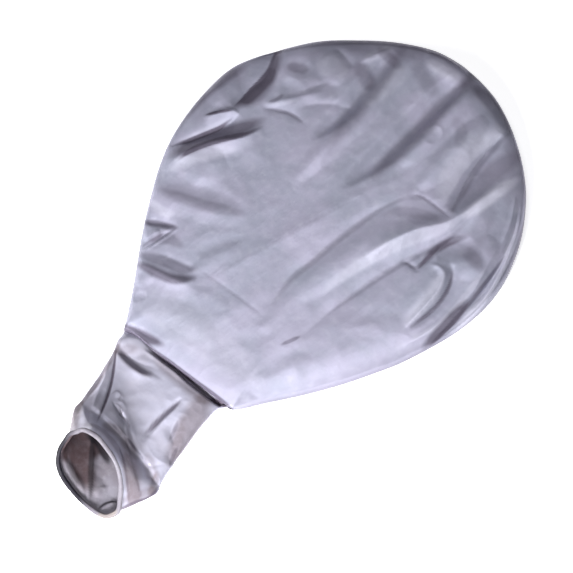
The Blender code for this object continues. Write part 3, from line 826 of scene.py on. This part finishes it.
# %% Fold the neck
SMOOTH_RINGS = 20.0
FACING_GAIN = 2
NECK_CRUMPLE = (0.060, 0.026), (0.0012, 0.0005), 0.0006, (1.0, 1.0), 11.0
LOWEST_FILM = 0.0009

from_rim = np.repeat(unit((rows - 1 - np.arange(rows)) / SMOOTH_RINGS), AROUND)
outside = relief(neck_place, NECK_FOLDS, NECK_SOFT_FOLDS) * unit(FACING_GAIN * towards_eye)
inside = relief(neck_place, MOUTH_FOLDS) * unit(-FACING_GAIN * towards_eye)
random = crumple(lofted, *NECK_CRUMPLE)
lofted = lofted + normals * ((outside - inside + random) * from_rim)[:, None]
lofted[:, 2] = np.maximum(lofted[:, 2], LOWEST_FILM)
neck = new_piece("neck_skin", lofted, grid_faces(rows, AROUND, closed=True))
print("the neck has", len(neck.data.polygons), "faces")

# %% [markdown]
# Its film gets a thickness, so that the inside can have a material of its own.

# %% Stain and thicken the neck
FILM_THICKNESS = 0.0008
SIDE_BLEND = 5

seen_outside = unit(0.5 + SIDE_BLEND * towards_eye)
# Brown tints with painted shade, and painted shade alone, from the outside's strokes outside and the
# mouth's inside.
for name, outside_strokes, inside_strokes in (
    ("worn", NECK_BROWN_AND_SHADE, MOUTH_BROWN_AND_SHADE),
    ("dull", NECK_PAINTED_SHADE, MOUTH_PAINTED_SHADE),
):
    outer, inner = stroke_tint(neck_place, outside_strokes), stroke_tint(neck_place, inside_strokes)
    paint(neck, name, inner + (outer - inner) * seen_outside)
film = neck.modifiers.new("film", "SOLIDIFY")
film.thickness = FILM_THICKNESS
film.offset = -1.0
film.material_offset = 1
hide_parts("neck_upper_wall", "neck_lower_wall")
print("the neck's film is", round(film.thickness, 4), "m thick")

# %% [markdown]
# ## The rolled bead
#
# The mouth's edge is rolled on itself. A bevelled curve would be an even ring, but the real roll
# thickens and thins, and its last turn stands out as a line. So a section is swept round the mouth:
# waves change its thickness, and laps cut lines along it.

# %% Sweep the bead round the mouth
BEAD_RADIUS = 0.0043
BEAD_STEPS, BEAD_SIDES = 420, 28
#   height, waves in a round, start
BEAD_WAVES = [(0.08, 3, 0.6), (0.03, 11, 0.0)]
#   depth, angle on the section, width
BEAD_LAPS = [(0.10, 1.9, 0.28), (0.07, 3.6, 0.22)]

way_round = np.linspace(0, math.tau, BEAD_STEPS, endpoint=False)
section = np.linspace(0, math.tau, BEAD_SIDES, endpoint=False)
middle_line = hoop_point(way_round)
forward = np.roll(middle_line, -1, axis=0) - np.roll(middle_line, 1, axis=0)
forward /= np.linalg.norm(forward, axis=1, keepdims=True)
outward = np.cross(forward, mouth_out)[:, None]
waves = sum(size * np.sin(count * way_round + start) for size, count, start in BEAD_WAVES)
thickness = BEAD_RADIUS * (1 + waves)
lap = np.ones(BEAD_SIDES)
for depth, lap_angle, width in BEAD_LAPS:
    off_lap = np.angle(np.exp(1j * (section - lap_angle)))
    lap -= depth * np.exp(-((off_lap / width) ** 2))
circle = np.cos(section)[None, :, None] * outward + np.sin(section)[None, :, None] * mouth_out
bead = (middle_line[:, None] + (thickness[:, None] * lap)[:, :, None] * circle).reshape(-1, 3)
bead_faces = grid_faces(BEAD_STEPS, BEAD_SIDES, closed=True, looped=True)
bead_piece = new_piece("mouth_rolled_bead", bead, bead_faces)
bead_place = to_picture(bead)
# The bead's brown tint and its painted shade.
paint(bead_piece, "worn", stroke_tint(bead_place, BEAD_BROWN))
paint(bead_piece, "dull", stroke_tint(bead_place, BEAD_PAINTED_SHADE))
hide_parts("mouth_bead")
print("the bead has", len(bead_piece.data.polygons), "faces")


# %% [markdown]
# ## Shader maths
#
# A material is a graph of nodes. This small class wraps a socket so that its arithmetic can be
# written as Python. One method of it makes every node, from its type, the values or links of its
# sockets, and its settings.

# %% Wrap the shader's sockets
class Signal:
    """A shader value: a socket of a node, with Python's arithmetic."""

    def __init__(self, socket):
        self.socket = socket
        self.tree = socket.id_data

    @classmethod
    def make(cls, tree, kind, sockets=None, settings=None, output=0):
        node = tree.nodes.new(kind)
        for name, value in (settings or {}).items():
            setattr(node, name, value)
        for name, value in (sockets or {}).items():
            feed(node.inputs[name], value)
        return cls(node.outputs[output])

    def maths(self, operation, *values):
        return self.make(self.tree, "ShaderNodeMath", dict(enumerate(values)), {"operation": operation})

    def __add__(self, other):
        return self.maths("ADD", self, other)

    def __sub__(self, other):
        return self.maths("SUBTRACT", self, other)

    def __rsub__(self, other):
        return self.maths("SUBTRACT", other, self)

    def __mul__(self, other):
        return self.maths("MULTIPLY", self, other)

    def __pow__(self, other):
        return self.maths("POWER", self, other)

    __radd__ = __add__
    __rmul__ = __mul__

    def size(self):
        return self.maths("ABSOLUTE", self)

    def between(self, low, high):
        """0 below low, 1 above high, and smooth from one to the other."""
        sockets = {"Value": self, "From Min": low, "From Max": high}
        return self.make(self.tree, "ShaderNodeMapRange", sockets, {"interpolation_type": "SMOOTHSTEP"})


def feed(socket, value):
    """Links a signal to a socket, or sets a plain value."""
    if isinstance(value, Signal):
        socket.id_data.links.new(value.socket, socket)
    else:
        socket.default_value = value


def mix_colours(share, first, second):
    """A blend of two colours. Sockets go by number here, because their names repeat."""
    first, second = (c if isinstance(c, Signal) else (*c, 1.0) for c in (first, second))
    sockets = {0: share, 6: first, 7: second}
    return Signal.make(share.tree, "ShaderNodeMix", sockets, {"data_type": "RGBA"}, output=2)


def noise_pattern(place, scale, detail, roughness=0.5):
    sockets = {"Vector": place, "Scale": scale, "Detail": detail, "Roughness": roughness}
    return Signal.make(place.tree, "ShaderNodeTexNoise", sockets)


def painted(tree, name):
    """A tint that was stored on the mesh."""
    return Signal.make(tree, "ShaderNodeAttribute", None, {"attribute_name": name}, output="Fac")


# %% [markdown]
# ## The latex
#
# Silver latex is a film with pearl pigment in it. It is satin and a little metallic. It mottles
# where the pigment is thinner, talc dulls it in patches, and fine wrinkles run all over it. Low on
# the bag, at its side fold, shade is painted into its colour. Noise and the tints stored on the mesh
# give all of this, from every side and without an image. Those tints are brown latex, painted
# highlights and painted shade.

# %% Colour the latex
CLOUD_SPAN, TALC_SPAN, TINT_SPAN, SATIN_SPAN = (0.34, 0.68), (0.46, 0.78), (0.4, 0.6), (0.35, 0.8)
TALC, TALC_SHARE = (0.62, 0.62, 0.66), 0.13
# Painted shade low on the bag: full below the first height and gone above the second.
FOLD_PAINTED_SHADE, FOLD_LEVELS = (0.12, 0.11, 0.15), (0.014, 0.036)
TINT_MOTTLE = 0.1


def latex_colour(place, cloud, mottle, pigment, thin_pigment, worn, dull, fold_shade=0.0):
    film_colour = mix_colours(cloud.between(*CLOUD_SPAN), thin_pigment, pigment)
    dusted = mix_colours(mottle.between(*TALC_SPAN) * TALC_SHARE, film_colour, TALC)
    # Painted shade low on the bag, at its side fold.
    level = Signal.make(place.tree, "ShaderNodeSeparateXYZ", {"Vector": place}, output="Z")
    fold_shaded = mix_colours((1.0 - level.between(*FOLD_LEVELS)) * fold_shade, dusted, FOLD_PAINTED_SHADE)
    uneven = (1 - TINT_MOTTLE) + TINT_MOTTLE * mottle.between(*TINT_SPAN)
    # Brown latex on the neck, mouth and bead, laid darker where it stands for shade; painted highlights
    # on the bag.
    browned_and_lit = mix_colours(painted(place.tree, "worn") * uneven, fold_shaded, worn)
    # Painted shade over everything else.
    return mix_colours(painted(place.tree, "dull"), browned_and_lit, dull)


# %% Make the latex
CLOUD_SCALE, MOTTLE_SCALE, WRINKLE_SCALE, GRAIN_SCALE = 11.0, 70.0, 60.0, 500.0
CLOUD_BUMP, MOTTLE_BUMP, WRINKLE_BUMP, GRAIN_BUMP = 0.7, 0.08, 0.09, 0.012
MOTTLE_ROUGHNESS, GRAIN_ROUGHNESS = 0.14, 0.05
DRAWN_OUT = (1.0, 0.3, 1.0)
SHEEN = 0.2


def latex(name, metallic, roughness, **colours):
    material = bpy.data.materials.new(name)
    material.use_nodes = True
    tree = material.node_tree
    place = Signal.make(tree, "ShaderNodeTexCoord", output="Object")
    cloud = noise_pattern(place, CLOUD_SCALE, detail=4.0, roughness=0.55)
    mottle = noise_pattern(place, MOTTLE_SCALE, detail=5.0, roughness=0.65)
    grain = noise_pattern(place, GRAIN_SCALE, detail=2.0)
    drawn_out = Signal.make(tree, "ShaderNodeMapping", {"Vector": place, "Scale": DRAWN_OUT})
    wrinkles = 1.0 - (noise_pattern(drawn_out, WRINKLE_SCALE, detail=3.0) * 2.0 - 1.0).size()
    height = cloud * CLOUD_BUMP + wrinkles**3.0 * WRINKLE_BUMP
    height = height + mottle * MOTTLE_BUMP + grain * GRAIN_BUMP
    bump_sockets = {"Strength": 0.5, "Distance": 0.004, "Height": height}
    satin = roughness + mottle.between(*SATIN_SPAN) * MOTTLE_ROUGHNESS + grain * GRAIN_ROUGHNESS
    shader = tree.nodes["Principled BSDF"]
    feed(shader.inputs["Base Color"], latex_colour(place, cloud, mottle, **colours))
    feed(shader.inputs["Roughness"], satin)
    feed(shader.inputs["Normal"], Signal.make(tree, "ShaderNodeBump", bump_sockets))
    feed(shader.inputs["Metallic"], metallic)
    feed(shader.inputs["Specular IOR Level"], SHEEN)
    return material


# %% Give each piece its latex
# Each latex gets the colour of its brown tint, which on the bag is a painted highlight, and of its
# painted shade. fold_shade is how much painted shade lies at the side fold.
bag_latex = latex(
    "bag_latex", metallic=0.45, roughness=0.36, fold_shade=0.65,
    pigment=(0.405, 0.392, 0.505), thin_pigment=(0.335, 0.344, 0.435),
    worn=(0.61, 0.605, 0.72), dull=(0.11, 0.098, 0.135),
)
neck_latex = latex(
    "neck_latex", metallic=0.40, roughness=0.36,
    pigment=(0.425, 0.42, 0.52), thin_pigment=(0.37, 0.355, 0.43),
    worn=(0.20, 0.17, 0.195), dull=(0.085, 0.068, 0.095),
)
inner_latex = latex(
    "inner_latex", metallic=0.05, roughness=0.5,
    pigment=(0.22, 0.21, 0.25), thin_pigment=(0.16, 0.145, 0.17),
    worn=(0.060, 0.040, 0.044), dull=(0.012, 0.010, 0.013),
)
bead_latex = latex(
    "bead_latex", metallic=0.0, roughness=0.5,
    pigment=(0.15, 0.14, 0.165), thin_pigment=(0.11, 0.10, 0.12),
    worn=(0.20, 0.17, 0.15), dull=(0.008, 0.007, 0.012),
)
for piece, *materials in (
    (upper_skin, bag_latex),
    (lower_skin, bag_latex),
    (neck, neck_latex, inner_latex),
    (bead_piece, bead_latex),
):
    for material in materials:
        piece.data.materials.append(material)
print("materials made:", len(bpy.data.materials))

# %% [markdown]
# ## The studio
#
# A pale floor that glows a little, a key light low on the camera's side, a weaker one at the left,
# a wide one overhead and a dim room. The slopes that face the bottom of the picture come out bright
# and those that face away dark, as in the photograph.

# %% Lay the floor
FAR, LEVEL = 30, -0.0006
GLOW = 0.58

floor_mesh = bpy.data.meshes.new("floor")
floor_corners = [(-FAR, -FAR, LEVEL), (FAR, -FAR, LEVEL), (FAR, FAR, LEVEL), (-FAR, FAR, LEVEL)]
floor_mesh.from_pydata(floor_corners, [], [(0, 1, 2, 3)])
floor = add_object("floor", floor_mesh)
paper = bpy.data.materials.new("floor_paper")
paper.use_nodes = True
paper_inputs = paper.node_tree.nodes["Principled BSDF"].inputs
feed(paper_inputs["Base Color"], (0.93, 0.93, 0.94, 1.0))
feed(paper_inputs["Roughness"], 0.9)
feed(paper_inputs["Emission Color"], (1.0, 1.0, 1.0, 1.0))
feed(paper_inputs["Emission Strength"], GLOW)
floor_mesh.materials.append(paper)
print("the floor is", 2 * FAR, "m wide")


# %% Light the scene
def soft_light(name, toward_camera, sideways, height, size, watts):
    """A round lamp, placed as the picture sees the floor: down it, to the right, and up."""
    near = np.array((math.sin(AZIMUTH), -math.cos(AZIMUTH), 0.0))
    spot = near * toward_camera + rightward * sideways + np.array((0.0, 0.0, height))
    data = bpy.data.lights.new(name, "AREA")
    data.shape = "DISK"
    data.size = size
    data.energy = watts
    lamp = add_object(name, data)
    lamp.location = spot
    lamp.rotation_euler = (Vector(AIM) - Vector(spot)).to_track_quat("-Z", "Y").to_euler()


soft_light("key", toward_camera=2.3, sideways=-0.8, height=1.2, size=0.7, watts=165)
soft_light("left", toward_camera=0.5, sideways=-2.3, height=1.1, size=1.0, watts=40)
soft_light("overhead", toward_camera=0.3, sideways=0.0, height=3.0, size=2.5, watts=36)
world = bpy.data.worlds.new("room")
world.use_nodes = True
room_inputs = world.node_tree.nodes["Background"].inputs
feed(room_inputs["Color"], (0.90, 0.91, 1.0, 1.0))
feed(room_inputs["Strength"], 0.12)
bpy.context.scene.world = world
bpy.context.scene.view_settings.view_transform = "Standard"
print(len(bpy.data.lights), "lamps")
